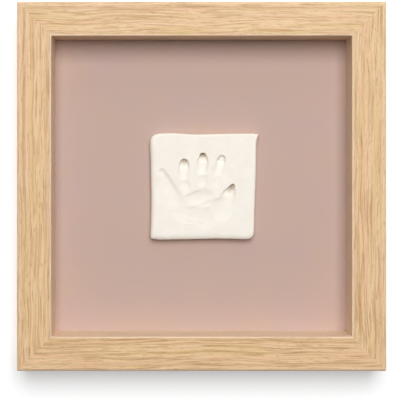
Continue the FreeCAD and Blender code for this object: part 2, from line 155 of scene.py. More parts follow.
def addPlane(name, size, location, rotation, material):
    bpy.ops.object.select_all(action="DESELECT")
    bpy.ops.mesh.primitive_plane_add(size=size, location=location, rotation=rotation)
    plane = bpy.context.object
    plane.name = name
    plane.data.materials.append(material)
    plane.visible_diffuse = False      # so that it throws no light back into the recess
    return plane


def makeWallMaterial():
    # White painted plaster, a touch brighter to the camera so that it is white where no shadow falls.
    # It is seen only from the front: from behind the frame it lets the view through.
    material, tree, shader, place = newMaterial("matt white wall paint", Base_Color=fromHex(stagePlan["wallColour"]),
                                                Roughness=0.9, Specular_IOR_Level=0.0)
    ray = addNode(tree, "ShaderNodeLightPath")
    glow = addNode(tree, "ShaderNodeMath", {0: ray.outputs["Is Camera Ray"], 1: stagePlan["wallGlow"]},
                   operation="MULTIPLY")
    white = addNode(tree, "ShaderNodeEmission", {"Color": (1, 1, 1, 1), "Strength": glow.outputs["Value"]})
    lit = addNode(tree, "ShaderNodeAddShader", {0: shader.outputs["BSDF"], 1: white.outputs["Emission"]})
    clear = addNode(tree, "ShaderNodeBsdfTransparent")
    geometry = addNode(tree, "ShaderNodeNewGeometry")
    mix = addNode(tree, "ShaderNodeMixShader", {0: geometry.outputs["Backfacing"], 1: lit.outputs["Shader"],
                                                2: clear.outputs["BSDF"]})
    tree.links.new(mix.outputs["Shader"], tree.nodes["Material Output"].inputs["Surface"])
    return material


def addStage():
    wall = addPlane("wall", stagePlan["stageSize"], (0, cadHigh[1] + stagePlan["wallGap"], middle.z),
                    (math.radians(90), 0, 0), makeWallMaterial())
    wall.visible_glossy = False
    wall.visible_transmission = False
    wall.visible_shadow = False
    floorMaterial = newMaterial("pale floor", Base_Color=fromHex(stagePlan["floorColour"]), Roughness=0.8)[0]
    addPlane("floor", stagePlan["stageSize"], (0, 0, -stagePlan["floorDrop"]), (0, 0, 0), floorMaterial)


lightPlan = {
    # soft boxes as (azimuth and elevation in degrees, distance, width and height in metres, watts)
    "front": (3, 19.0, 3.0, 1.75, 2.0, 84.0),
    "upper": (4, 62, 3.0, 2.6, 0.9, 6.0),
    "rear": (205, 30, 2.0, 1.6, 1.6, 34.0),
    # from beside and a little behind, so that the sides show and the front doesn't change
    "right": (106, 12, 2.5, 1.2, 1.2, 13.0),
    "left": (254, 12, 2.5, 1.2, 1.2, 13.0),
    "skyStrength": 0.17,
    "groundStrength": 0.03,
    "skyRise": (-0.4, 0.2),        # how far up a ray points where the ground's light ends and the sky's is full
}


def addSoftBox(name, azimuth, elevation, distance, width, height, watts):
    data = bpy.data.lights.new(name, "AREA")
    data.shape = "RECTANGLE"
    data.size = width
    data.size_y = height
    data.energy = watts
    light = bpy.data.objects.new(name, data)
    turn, lift = math.radians(azimuth), math.radians(elevation)
    level = distance * math.cos(lift)
    light.location = middle + Vector((level * math.sin(turn), -level * math.cos(turn), distance * math.sin(lift)))
    light.rotation_euler = (middle - light.location).to_track_quat("-Z", "Y").to_euler()
    bpy.context.scene.collection.objects.link(light)


def addSky():
    # faint light from every side above the floor, and white to the camera and in reflections
    world = bpy.data.worlds.new("studio")
    bpy.context.scene.world = world
    world.use_nodes = True
    tree = world.node_tree
    heading = addNode(tree, "ShaderNodeSeparateXYZ", {0: addNode(tree, "ShaderNodeTexCoord").outputs["Generated"]})
    lowest, highest = lightPlan["skyRise"]
    strength = addNode(tree, "ShaderNodeMapRange", {
        "Value": heading.outputs["Z"], "From Min": lowest, "From Max": highest,
        "To Min": lightPlan["groundStrength"], "To Max": lightPlan["skyStrength"]}, interpolation_type="SMOOTHSTEP")
    sky = tree.nodes["Background"]
    sky.inputs["Color"].default_value = (1, 1, 1, 1)
    tree.links.new(strength.outputs["Result"], sky.inputs["Strength"])
    white = addNode(tree, "ShaderNodeBackground", {"Color": (1, 1, 1, 1), "Strength": 1.0})
    ray = addNode(tree, "ShaderNodeLightPath")
    glossy = addNode(tree, "ShaderNodeMath", {0: ray.outputs["Is Camera Ray"], 1: ray.outputs["Is Glossy Ray"]},
                     operation="MAXIMUM")
    seen = addNode(tree, "ShaderNodeMath", {0: glossy.outputs["Value"], 1: ray.outputs["Is Transmission Ray"]},
                   operation="MAXIMUM")
    mix = addNode(tree, "ShaderNodeMixShader", {0: seen.outputs["Value"], 1: sky.outputs["Background"],
                                                2: white.outputs["Background"]})
    tree.links.new(mix.outputs["Shader"], tree.nodes["World Output"].inputs["Surface"])


addStage()
for box in ("front", "upper", "rear", "right", "left"):
    addSoftBox(box + " soft box", *lightPlan[box])
addSky()
bpy.context.scene.view_settings.view_transform = "Standard"
print("camera, stage and light ready")


# printed oak foil on the rails, which runs round the moulding and stops on its back
foilPlan = {
    "pale": "#F2CFA2",
    "pink": "#F1C79E",
    "honey": "#E9C58F",
    "streak": "#BD8D5A",
    "pore": "#A97D4C",
    "stretched": "#F8EAD9",         # painted light: pale colour laid on the eased edges and down the inside, which lightens them
    "core": "#BFA27E",              # fibreboard at the back, where the foil stops
    "coreDark": "#A98A64",
    "coreFibre": 1.4,               # mm
    "sway": 1.6,                    # how far the grain wanders sideways, mm
    "swaySize": (30.0, 70.0),       # across and along one bend, mm
    "apart": (37.0, 100.0),         # across and along, between the places that two rails have of the print, mm
    "innerEdge": (122.2, 123.4),    # where the foil of the inside and that of the face begin, mm from the middle
    "innerPaintedLight": 0.45,             # how much the painted light pales the inside
    "outerEdge": (3.0, 0.8),        # the same for the outer edge, mm in from the outside
    "outerPaintedLight": 0.15,
    "outerDepth": (1.6, 4.5),       # how far behind the face the painted highlight on the outer edge fades out, mm
    "foilTurn": 3.0,                # what the foil covers of the back, mm
    "turnEdge": 0.2,                # over which it ends, each way, mm
    "emboss": 0.05,                 # mm
}
# layers of the print: width and length of one patch in mm, and how much detail it has
printLayers = {"band": (3.4, 150.0, 2.0), "line": (1.5, 420.0, 1.0), "streak": (1.2, 36.0, 2.0),
               "pore": (0.7, 7.0, 2.0)}
# where in its noise each darker layer begins and is full, what it then covers, and its colour
darkLayers = {"line": (0.52, 0.64, 0.42, "streak"), "streak": (0.52, 0.67, 0.62, "streak"),
              "pore": (0.56, 0.7, 0.44, "pore")}
# shade of the foil from the opening's edge to the outer edge, mm from the frame's middle: painted highlight, lighter
# on the eased edges and down the inside than on the face, with a darker line beside each edge
shadeStart = 120.0
paintedEdgeHighlights = ((122.0, 1.0), (123.1, 1.0), (123.8, 0.84), (124.6, 0.86), (125.6, 0.95), (143.4, 0.95), (144.6, 0.85),
             (145.4, 0.86), (146.6, 0.97), (150.0, 1.0))


def makeOakFoil(name, lengthwise, seed):
    # Melamine foil printed with plain-sawn oak and lightly embossed, wrapped round a fibreboard moulding: warm satin
    # wood with fine broken streaks that run along the rail, painted highlights on the eased edges, painted light down
    # the inside, and raw fibreboard at the back.
    material, tree, shader, place = newMaterial(name, Specular_IOR_Level=0.35)

    def along(width, length):
        # the length for the axis that the grain runs along and the width for the others
        return [length if axis == lengthwise else width for axis in range(3)]

    shift = [step * seed for step in along(*foilPlan["apart"])]
    seeded = addNode(tree, "ShaderNodeMapping", {"Vector": place, "Location": shift}).outputs["Vector"]
    swayScale = [1 / size for size in along(*foilPlan["swaySize"])]
    swayPlace = addNode(tree, "ShaderNodeMapping", {"Vector": seeded, "Scale": swayScale})
    swing = addNode(tree, "ShaderNodeTexNoise", {"Vector": swayPlace.outputs["Vector"], "Scale": 1.0, "Detail": 1.0})
    centred = addNode(tree, "ShaderNodeVectorMath", {0: swing.outputs["Color"], 1: (0.5, 0.5, 0.5)},
                      operation="SUBTRACT")
    # the noise seldom swings more than a quarter each way
    swayed = addNode(tree, "ShaderNodeVectorMath", {0: centred.outputs["Vector"], 1: [foilPlan["sway"] * 4] * 3,
                                                    2: seeded}, operation="MULTIPLY_ADD")
    layers = {}
    for layer, (width, length, detail) in printLayers.items():
        scale = [1 / size for size in along(width, length)]
        stretched = addNode(tree, "ShaderNodeMapping", {"Vector": swayed.outputs["Vector"], "Scale": scale})
        layers[layer] = addNode(tree, "ShaderNodeTexNoise", {"Vector": stretched.outputs["Vector"], "Scale": 1.0,
                                                             "Detail": detail, "Roughness": 0.55}).outputs["Fac"]
    printed = addNode(tree, "ShaderNodeValToRGB", {"Fac": layers["band"]}, stops=(
        (0.32, fromHex(foilPlan["honey"])), (0.7, fromHex(foilPlan["honey"])),
        (0.46, fromHex(foilPlan["pale"])), (0.56, fromHex(foilPlan["pink"])))).outputs["Color"]
    for layer, (begins, full, most, colour) in darkLayers.items():
        amount = addNode(tree, "ShaderNodeMapRange", {"Value": layers[layer], "From Min": begins, "From Max": full,
                                                      "To Max": most}, interpolation_type="SMOOTHSTEP")
        printed = addNode(tree, "ShaderNodeMix", {0: amount.outputs["Result"], 6: printed,
                                                  7: fromHex(foilPlan[colour])}, data_type="RGBA").outputs[2]
    # distance from the frame's middle, across the rail
    spot = addNode(tree, "ShaderNodeSeparateXYZ", {0: place})
    centre, across = (middle.z / mm, "Z") if lengthwise == 0 else (middle.x / mm, "X")
    offset = addNode(tree, "ShaderNodeMath", {0: spot.outputs[across], 1: centre}, operation="SUBTRACT")
    outward = addNode(tree, "ShaderNodeMath", {0: offset.outputs["Value"]}, operation="ABSOLUTE").outputs["Value"]
    outer = (cadHigh[0] - cadLow[0]) / 2 / mm
    share = addNode(tree, "ShaderNodeMapRange", {"Value": outward, "From Min": shadeStart, "From Max": outer})
    edges = [((far - shadeStart) / (outer - shadeStart), (shade, shade, shade, 1)) for far, shade in paintedEdgeHighlights]
    paintedEdgeTone = addNode(tree, "ShaderNodeValToRGB", {"Fac": share.outputs["Result"]}, stops=[edges[0], edges[-1]]
                     + edges[1:-1])
    # painted highlight: the eased edges and inner walls are made lighter than the face, with a darker line beside
    # each edge
    printed = addNode(tree, "ShaderNodeMix", {0: 1.0, 6: printed, 7: paintedEdgeTone.outputs["Color"]}, data_type="RGBA",
                      blend_type="MULTIPLY").outputs[2]
    # painted light, pale all down the inside, and a painted highlight outside only beside the front arris
    depth = addNode(tree, "ShaderNodeMath", {0: spot.outputs["Y"], 1: frontY / mm}, operation="SUBTRACT")
    paleEnd, paleGone = foilPlan["outerDepth"]
    behind = addNode(tree, "ShaderNodeMapRange", {"Value": depth.outputs["Value"], "From Min": paleEnd,
                                                  "From Max": paleGone, "To Min": foilPlan["outerPaintedLight"],
                                                  "To Max": 0.0})
    wallEnd, faceStart = foilPlan["innerEdge"]
    inside = addNode(tree, "ShaderNodeMapRange", {"Value": outward, "From Min": wallEnd, "From Max": faceStart,
                                                  "To Min": foilPlan["innerPaintedLight"], "To Max": 0.0})
    faceEnd, sideStart = foilPlan["outerEdge"]
    outside = addNode(tree, "ShaderNodeMapRange", {"Value": outward, "From Min": outer - faceEnd,
                                                   "From Max": outer - sideStart, "To Min": 0.0,
                                                   "To Max": behind.outputs["Result"]})
    paintedLightShare = addNode(tree, "ShaderNodeMath", {0: inside.outputs["Result"], 1: outside.outputs["Result"]},
                    operation="ADD").outputs["Value"]
    # painted light: the pale "stretched" colour is mixed in down the inside and beside the front arris
    printed = addNode(tree, "ShaderNodeMix", {0: paintedLightShare, 6: printed, 7: fromHex(foilPlan["stretched"])},
                      data_type="RGBA").outputs[2]
    # the back is fibreboard, apart from the turned edge of the foil
    normal = addNode(tree, "ShaderNodeSeparateXYZ", {0: addNode(tree, "ShaderNodeTexCoord").outputs["Normal"]})
    facing = addNode(tree, "ShaderNodeMapRange", {"Value": normal.outputs["Y"], "From Min": 0.6, "From Max": 0.8})
    turnStart, soft = outer - foilPlan["foilTurn"], foilPlan["turnEdge"]
    inner = addNode(tree, "ShaderNodeMapRange", {"Value": outward, "From Min": turnStart - soft,
                                                 "From Max": turnStart + soft, "To Min": 1.0, "To Max": 0.0})
    bare = addNode(tree, "ShaderNodeMath", {0: facing.outputs["Result"], 1: inner.outputs["Result"]},
                   operation="MULTIPLY").outputs["Value"]
    fibres = addNode(tree, "ShaderNodeTexNoise", {"Vector": place, "Scale": 1 / foilPlan["coreFibre"], "Detail": 4.0,
                                                  "Roughness": 0.7})
    core = addNode(tree, "ShaderNodeValToRGB", {"Fac": fibres.outputs["Fac"]}, stops=(
        (0.35, fromHex(foilPlan["core"])), (0.7, fromHex(foilPlan["coreDark"])))).outputs["Color"]
    colour = addNode(tree, "ShaderNodeMix", {0: bare, 6: printed, 7: core}, data_type="RGBA").outputs[2]
    tree.links.new(colour, shader.inputs["Base Color"])
    gloss = addNode(tree, "ShaderNodeMapRange", {"Value": bare, "To Min": 0.5, "To Max": 0.9})
    tree.links.new(gloss.outputs["Result"], shader.inputs["Roughness"])
    relief = addNode(tree, "ShaderNodeMath", {0: layers["streak"], 1: layers["pore"]}, operation="ADD")
    embossed = addNode(tree, "ShaderNodeBump", {"Height": relief.outputs["Value"],
                                                "Distance": -foilPlan["emboss"] * mm})
    tree.links.new(embossed.outputs["Normal"], shader.inputs["Normal"])
    return material


grainAxes = {"rail_top": 0, "rail_right": 2, "rail_bottom": 0, "rail_left": 2}
for number, (nodeName, grainAxis) in enumerate(grainAxes.items(), start=1):
    dress(nodeName, makeOakFoil("oak foil on " + nodeName, grainAxis, number))


# mount card at the back of the recess
cardPlan = {
    "dye": "#CBB0A2",
    "dyeFaint": "#C9AFA8",
    "fibre": "#BCA194",
    "mottle": 38.0,     # mm
    "felt": 0.9,        # coarser than the real fibres, so that it shows, mm
}


def makeCardPaper():
    # Through-dyed mount card: dead matt dusty pink, faintly mottled, with a very fine felt of fibres.
    material, tree, shader, place = newMaterial("dusty pink mount card", Roughness=0.92, Specular_IOR_Level=0.15)
    mottle = addNode(tree, "ShaderNodeTexNoise", {"Vector": place, "Scale": 1 / cardPlan["mottle"], "Detail": 3.0})
    dye = addNode(tree, "ShaderNodeValToRGB", {"Fac": mottle.outputs["Fac"]}, stops=(
        (0.3, fromHex(cardPlan["dye"])), (0.7, fromHex(cardPlan["dyeFaint"]))))
    felt = addNode(tree, "ShaderNodeTexNoise", {"Vector": place, "Scale": 1 / cardPlan["felt"], "Detail": 3.0,
                                                "Roughness": 0.7}).outputs["Fac"]
    amount = addNode(tree, "ShaderNodeMapRange", {"Value": felt, "From Min": 0.3, "From Max": 0.75, "To Max": 0.25})
    colour = addNode(tree, "ShaderNodeMix", {0: amount.outputs["Result"], 6: dye.outputs["Color"],
                                             7: fromHex(cardPlan["fibre"])}, data_type="RGBA").outputs[2]
    tree.links.new(colour, shader.inputs["Base Color"])
    rough = addNode(tree, "ShaderNodeBump", {"Height": felt, "Distance": 0.03 * mm})
    tree.links.new(rough.outputs["Normal"], shader.inputs["Normal"])
    return material


dress("mount_card", makeCardPaper())


# hardboard back panel
hardboardPlan = {
    "face": "#8D6B48",
    "dark": "#7A5A3A",
    "fleck": "#A98A62",
    "fibre": (0.7, 4.0),    # width and length of a wood fibre bundle, mm
    "laid": (25, 80, 140),  # degrees that the fibre bundles lie at
    "cloud": 60.0,          # mm
}


def makeHardboard():
    # Pressed hardboard, smooth side out: brown felted wood fibres under a hard, faintly satin skin, with paler
    # flecks.
    material, tree, shader, place = newMaterial("pressed hardboard", Roughness=0.55, Specular_IOR_Level=0.3)
    cloud = addNode(tree, "ShaderNodeTexNoise", {"Vector": place, "Scale": 1 / hardboardPlan["cloud"], "Detail": 4.0})
    body = addNode(tree, "ShaderNodeValToRGB", {"Fac": cloud.outputs["Fac"]}, stops=(
        (0.3, fromHex(hardboardPlan["face"])), (0.75, fromHex(hardboardPlan["dark"]))))
    width, length = hardboardPlan["fibre"]
    heaps = []
    for turn in hardboardPlan["laid"]:
        turned = addNode(tree, "ShaderNodeMapping", {"Vector": place, "Rotation": (0, math.radians(turn), 0)})
        laid = addNode(tree, "ShaderNodeMapping", {"Vector": turned.outputs["Vector"],
                                                   "Scale": (1 / length, 1 / width, 1 / width)})
        heaps.append(addNode(tree, "ShaderNodeTexNoise", {"Vector": laid.outputs["Vector"], "Scale": 1.0,
                                                          "Detail": 3.0, "Roughness": 0.65}).outputs["Fac"])
    highest = addNode(tree, "ShaderNodeMath", {0: heaps[0], 1: heaps[1]}, operation="MAXIMUM").outputs["Value"]
    felted = addNode(tree, "ShaderNodeMath", {0: highest, 1: heaps[2]}, operation="MAXIMUM").outputs["Value"]
    amount = addNode(tree, "ShaderNodeMapRange", {"Value": felted, "From Min": 0.55, "From Max": 0.72,
                                                  "To Max": 0.55})
    colour = addNode(tree, "ShaderNodeMix", {0: amount.outputs["Result"], 6: body.outputs["Color"],
                                             7: fromHex(hardboardPlan["fleck"])}, data_type="RGBA").outputs[2]
    tree.links.new(colour, shader.inputs["Base Color"])
    skin = addNode(tree, "ShaderNodeBump", {"Height": felted, "Distance": 0.04 * mm})
    tree.links.new(skin.outputs["Normal"], shader.inputs["Normal"])
    return material


dress("back_panel", makeHardboard())


# bare and plated metals: marks is the size along X, Y and Z of what the making left, and bloom the size of its
# tinted patches, mm
metalPlans = {
    # Spring steel strip, rolled and cut into corner nails: grey, with faint straight rolling marks.
    "rolled nail steel": {"bright": "#A9A9AB", "dull": "#8B8B8D", "roughness": 0.38, "marks": (2.5, 2.5, 0.4),
                          "tint": "#8E8A82", "bloom": 5.0},
    # Pressed steel plate, zinc plated and passivated: bright grey with a faint yellow and blue bloom.
    "zinc plate on pressed steel": {"bright": "#C6C9CC", "dull": "#AEB2B6", "roughness": 0.34,
                                    "marks": (3.0, 3.0, 0.35), "tint": "#D2CBB4", "bloom": 7.0},
    # Screw wire, headed and zinc plated: a little brighter and more even than the plates.
    "zinc plate on screws": {"bright": "#CDD0D3", "dull": "#B6BABE", "roughness": 0.3, "marks": (0.6, 0.6, 0.6),
                             "tint": "#C9D0DA", "bloom": 4.0},
}


def makeMetal(name):
    plan = metalPlans[name]
    material, tree, shader, place = newMaterial(name, Metallic=1.0)
    stretched = addNode(tree, "ShaderNodeMapping", {"Vector": place, "Scale": [1 / size for size in plan["marks"]]})
    marks = addNode(tree, "ShaderNodeTexNoise", {"Vector": stretched.outputs["Vector"], "Scale": 1.0, "Detail": 3.0,
                                                 "Roughness": 0.6}).outputs["Fac"]
    patches = addNode(tree, "ShaderNodeTexNoise", {"Vector": place, "Scale": 1 / plan["bloom"], "Detail": 2.0})
    tone = addNode(tree, "ShaderNodeValToRGB", {"Fac": marks}, stops=(
        (0.35, fromHex(plan["dull"])), (0.65, fromHex(plan["bright"]))))
    amount = addNode(tree, "ShaderNodeMapRange", {"Value": patches.outputs["Fac"], "From Min": 0.42, "From Max": 0.7,
                                                  "To Max": 0.35})
    colour = addNode(tree, "ShaderNodeMix", {0: amount.outputs["Result"], 6: tone.outputs["Color"],
                                             7: fromHex(plan["tint"])}, data_type="RGBA").outputs[2]
    tree.links.new(colour, shader.inputs["Base Color"])
    gloss = addNode(tree, "ShaderNodeMapRange", {"Value": marks, "From Min": 0.3, "From Max": 0.7,
                                                 "To Min": plan["roughness"] + 0.08,
                                                 "To Max": plan["roughness"] - 0.06})
    tree.links.new(gloss.outputs["Result"], shader.inputs["Roughness"])
    scored = addNode(tree, "ShaderNodeBump", {"Height": marks, "Distance": 0.012 * mm})
    tree.links.new(scored.outputs["Normal"], shader.inputs["Normal"])
    return material


nailSteel, zincPlate, zincScrew = [makeMetal(name) for name in metalPlans]
dress("corner_nails", nailSteel)
print("rails, card, back panel and nails dressed")


# modelling helpers
def startAlone():
    if bpy.context.object and bpy.context.object.mode != "OBJECT":
        bpy.ops.object.mode_set(mode="OBJECT")
    bpy.ops.object.select_all(action="DESELECT")


def startEdit(piece, mode="FACE"):
    startAlone()
    bpy.context.view_layer.objects.active = piece
    piece.select_set(True)
    bpy.ops.object.mode_set(mode="EDIT")
    bpy.ops.mesh.select_mode(type=mode)
    bpy.ops.mesh.select_all(action="DESELECT")


def selectEdges(piece, chosen):
    # into edit mode with the edges selected whose two ends pass the test
    startEdit(piece, "EDGE")
    bpy.ops.object.mode_set(mode="OBJECT")
    spots = piece.data.vertices
    for edge in piece.data.edges:
        first, second = edge.vertices
        edge.select = bool(chosen(spots[first].co, spots[second].co))
    bpy.ops.object.mode_set(mode="EDIT")


def selectFaces(piece, chosen):
    startEdit(piece, "FACE")
    bpy.ops.object.mode_set(mode="OBJECT")
    for face in piece.data.polygons:
        face.select = bool(chosen(face))
    bpy.ops.object.mode_set(mode="EDIT")


def finishPiece(piece, name, body="root", replaced=(), smoothAngle=None):
    startAlone()
    bpy.context.view_layer.objects.active = piece
    piece.select_set(True)
    bpy.ops.object.transform_apply(location=True, rotation=True, scale=True)
    if smoothAngle is not None:
        bpy.ops.object.shade_smooth_by_angle(angle=math.radians(smoothAngle))
    piece.name = name
    piece.data.name = name
    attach(piece, body)
    if replaced:
        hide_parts(*replaced)
    piece.select_set(False)
    return piece


# handprint tile: rolled clay, cut by hand, with a baby's right hand pressed into it
tilePlan = {
    "centre": (2.05, 149.1),        # mm, across and up
    "steps": 264,                   # squares along a side of the face
    # how far in the rounding of the front rim reaches, and how far back: top, right, bottom, left
    "rimRounds": ((2.0, 1.3), (2.6, 2.0), (6.2, 2.5), (5.2, 3.6)),
    "backRound": 0.7,
    "unevenness": 0.16,             # slow hand-rolled unevenness of the face
    "lipHeight": 0.3,               # clay pushed up round the fingertips
    "lipWidth": 1.3,
    "softness": 0.2,                # rounding where a hollow leaves the face
    "dishReach": 20,                # no dish of the palm goes further from its centre
    "backDraw": 0.985,              # how far the wall is drawn in at the back
}
# outline from corner to corner, clockwise from the top left, in mm from the centre
tileSides = (
    ((-42.9, 41.2), (-40.2, 43.2), (-34.2, 44.2), (-22.3, 44.2), (-8.7, 43.3), (19.3, 43.9), (40.0, 44.0),
     (46.2, 43.4)),
    ((46.2, 43.4), (44.9, 40.3), (44.1, 35.0), (43.7, 11.5), (42.6, -20.4), (42.3, -36.0), (41.7, -40.2),
     (40.2, -42.6)),
    ((40.2, -42.6), (37.4, -43.8), (27.3, -43.7), (11.3, -43.4), (-20.7, -44.0), (-36.7, -44.2), (-43.2, -43.5)),
    ((-43.2, -43.5), (-44.0, -41.0), (-43.5, -28.5), (-43.3, -12.4), (-43.7, 15.0), (-44.2, 33.0), (-44.0, 38.6),
     (-42.9, 41.2)),
)
# each hollow runs from its tip to the palm through (across, up, half width, depth), mm from the centre
digitRuns = {
    "ring": ((-15.8, 19.5, 3.7, 5.0), (-16.0, 17.6, 4.3, 4.0), (-16.3, 14.6, 4.8, 2.6), (-16.4, 10.5, 4.9, 2.0),
             (-15.9, 6.0, 5.0, 1.2), (-15.3, 1.0, 5.3, 1.3), (-14.0, -5.0, 5.0, 0.8)),
    "middle": ((-0.3, 25.4, 2.8, 6.0), (-0.3, 23.0, 4.1, 3.8), (-0.6, 19.8, 5.1, 2.5), (-1.1, 15.0, 5.4, 2.1),
               (-1.0, 9.6, 5.1, 1.4), (-1.0, 4.5, 5.0, 1.6), (-1.2, -1.0, 4.8, 0.9)),
    "index": ((15.3, 23.0, 3.4, 2.8), (14.8, 21.0, 4.2, 3.4), (14.1, 18.4, 4.6, 2.6), (12.5, 13.0, 4.9, 1.7),
              (11.6, 8.0, 4.8, 1.0), (11.0, 3.0, 4.8, 1.1), (10.8, -2.0, 4.6, 0.7)),
    "thumbEdge": ((24.4, 0.4, 1.8, 5.1), (22.9, -1.8, 2.6, 5.6), (20.8, -4.4, 3.2, 4.2), (16.4, -7.6, 3.4, 1.1),
                  (12.5, -9.8, 3.8, 0.1)),
    "thumb": ((23.8, -3.0, 3.4, 2.4), (22.6, -6.4, 4.8, 2.6), (20.0, -12.0, 6.6, 2.0), (15.5, -19.0, 8.5, 1.3)),
    "little": ((-34.4, 11.6, 4.2, 1.5), (-30.6, 5.4, 4.6, 1.6), (-26.5, -1.2, 4.9, 1.5), (-22.2, -8.4, 5.2, 1.1)),
}
# the fingertips dig in under the face: direction across and up, and mm
overhangs = {"ring": (0.0, 1.0, 0.9), "middle": (0.05, 1.0, 1.1), "index": (0.15, 1.0, 0.2),
             "thumbEdge": (-0.2, 1.0, 1.0)}
shallowSide = {"little": 2.6}       # how much wider the digit's lower left side fades out
# dishes as (across, up, half width, half height, turn in degrees, depth)
palmDishes = (
    (-2.5, -10.0, 18.5, 10.0, 0.0, 1.5),
    (14.5, -18.5, 12.5, 15.0, -25.0, 1.5),
    (-13.0, -20.0, 15.0, 16.0, 15.0, 1.1),
    (1.0, -25.0, 17.0, 12.0, 0.0, 1.1),
    (-31.5, -4.0, 11.5, 18.0, 20.0, 0.8),
)
# skin folds stand up as ridges, steep on their lower side: (height, width above, width below, run of points)
skinFolds = (
    (0.5, 2.9, 1.3, ((-18.6, -7.2), (-12.7, -5.9), (-6.3, -2.7), (-1.5, -1.3), (3.3, -0.3), (8.1, -1.0),
                     (12.5, -3.2))),
    (0.34, 1.9, 1.2, ((-5.6, 10.3), (-2.5, 9.5), (1.5, 9.4), (4.2, 10.0))),
    (0.3, 1.7, 1.0, ((-20.2, 5.6), (-16.5, 5.0), (-12.0, 5.8))),
    (0.2, 1.7, 1.0, ((9.0, 9.3), (12.5, 8.6), (16.0, 8.5))),
    (0.5, 3.1, 1.3, ((18.5, -4.9), (14.6, -7.6), (11.2, -9.3), (5.7, -10.9), (0.1, -13.3), (-4.7, -15.2),
                     (-10.0, -16.6), (-15.9, -16.6))),
    (0.3, 1.8, 0.9, ((-12.0, 4.6), (-10.4, 1.8), (-8.2, -0.6))),
    (0.25, 1.6, 1.0, ((-15.5, -27.4), (-6.0, -28.4), (2.0, -29.7))),
    (0.22, 1.5, 1.0, ((-22.3, -30.0), (-12.0, -31.0), (-3.1, -31.4))),
    (0.2, 1.4, 0.9, ((-10.7, -33.2), (-6.0, -34.4), (-2.2, -34.9))),
)


def ease(amount):
    held = min(max(amount, 0.0), 1.0)
    return held * held * (3 - 2 * held)


def runTogether(first, second):
    # the depth where two hollows meet, a little more than the deeper one
    return (first ** 5 + second ** 5) ** 0.2


def nearestOnRun(x, z, run):
    # distance to a run of points, how far to its side, the share of the run, and the run's own values there
    best = None
    for index in range(len(run) - 1):
        first, second = run[index], run[index + 1]
        alongX, alongZ = second[0] - first[0], second[1] - first[1]
        squared = alongX * alongX + alongZ * alongZ
        share = min(max(((x - first[0]) * alongX + (z - first[1]) * alongZ) / squared, 0.0), 1.0)
        offX, offZ = x - first[0] - share * alongX, z - first[1] - share * alongZ
        distance = math.hypot(offX, offZ)
        if best is None or distance < best[0]:
            side = (alongX * offZ - alongZ * offX) / math.sqrt(squared)
            values = [a + (b - a) * share for a, b in zip(first[2:], second[2:])]
            best = (distance, side, (index + share) / (len(run) - 1), values)
    return best


def reachOf(run, margin):
    across, up = [point[0] for point in run], [point[1] for point in run]
    return min(across) - margin, max(across) + margin, min(up) - margin, max(up) + margin


digitReach = {name: reachOf(run, 10.0) for name, run in digitRuns.items()}
foldReach = [reachOf(fold[3], 4.0) for fold in skinFolds]


def isWithin(x, z, reach):
    return reach[0] < x < reach[1] and reach[2] < z < reach[3]


def printRelief(x, z):
    # depth of the print at a place on the face, and how far the clay there leans sideways
    depth, lip, leanX, leanZ = 0.0, 0.0, 0.0, 0.0
    for centreX, centreZ, halfWide, halfHigh, turn, deep in palmDishes:
        offX, offZ = x - centreX, z - centreZ
        if max(abs(offX), abs(offZ)) > tilePlan["dishReach"]:
            continue
        c, s = math.cos(math.radians(turn)), math.sin(math.radians(turn))
        out = math.hypot((offX * c + offZ * s) / halfWide, (offZ * c - offX * s) / halfHigh)
        if out < 1:
            depth = runTogether(depth, deep * (1 - out ** 2.5) ** 1.8)
    for name, run in digitRuns.items():
        if not isWithin(x, z, digitReach[name]):
            continue
        distance, side, share, (half, deep) = nearestOnRun(x, z, run)
        half *= 1 + (shallowSide.get(name, 1.0) - 1) * ease(0.5 - side / half) * ease(share * 2.5)
        out = distance / half
        if out < 1:
            steep = ease((deep - 1.5) / 3)
            hollow = deep * (1 - out ** (2.2 + steep)) ** (1.5 - 0.85 * steep)
            depth = runTogether(depth, hollow)
            if name in overhangs:
                towardX, towardZ, amount = overhangs[name]
                lean = amount * min(hollow / run[0][3], 1.0) ** 2
                leanX, leanZ = leanX + towardX * lean, leanZ + towardZ * lean
        elif name != "little":
            near = (distance - half - tilePlan["lipWidth"]) / tilePlan["lipWidth"]
            lip = max(lip, min(deep / 5, 1.0) * math.exp(-near * near))
    for (height, above, below, run), reach in zip(skinFolds, foldReach):
        if not isWithin(x, z, reach):
            continue
        distance, side, share, values = nearestOnRun(x, z, run)
        # a run that goes right has its upper side on its left, and one that goes left on its right
        upper = side > 0 if run[-1][0] > run[0][0] else side < 0
        ends = ease(min(share, 1 - share) * 6 + 0.1)
        ridge = height * ends * math.exp(-(distance / (above if upper else below)) ** 2)
        depth = max(depth - ridge, 0.0) if depth > 0 else 0.0
    pressed = math.hypot(depth, tilePlan["softness"]) - tilePlan["softness"]
    return pressed - tilePlan["lipHeight"] * lip * (1 - ease(pressed)), leanX, leanZ


def curveThrough(points, share):
    # a smooth line through the points, share of the way along
    lengths = [math.dist(a, b) for a, b in zip(points, points[1:])]
    left = share * sum(lengths)
    for index, length in enumerate(lengths):
        if left <= length or index == len(lengths) - 1:
            break
        left -= length
    t = left / length
    p1, p2 = Vector(points[index]), Vector(points[index + 1])
    slope1 = (p2 - Vector(points[index - 1])) / (length + lengths[index - 1]) if index else (p2 - p1) / length
    last = index + 2 > len(points) - 1
    slope2 = (p2 - p1) / length if last else (Vector(points[index + 2]) - p1) / (length + lengths[index + 1])
    return (p1 * (2 * t ** 3 - 3 * t * t + 1) + p2 * (3 * t * t - 2 * t ** 3)
            + slope1 * length * (t ** 3 - 2 * t * t + t) + slope2 * length * (t ** 3 - t * t))


def rimPoint(a, b):
    # place on the outline for a place on the edge of the square from -1 to 1
    if b >= abs(a):
        return curveThrough(tileSides[0], (a / b + 1) / 2)
    if a >= abs(b):
        return curveThrough(tileSides[1], (1 - b / a) / 2)
    if -b >= abs(a):
        return curveThrough(tileSides[2], (1 + a / b) / 2)
    return curveThrough(tileSides[3], (1 - b / a) / 2)


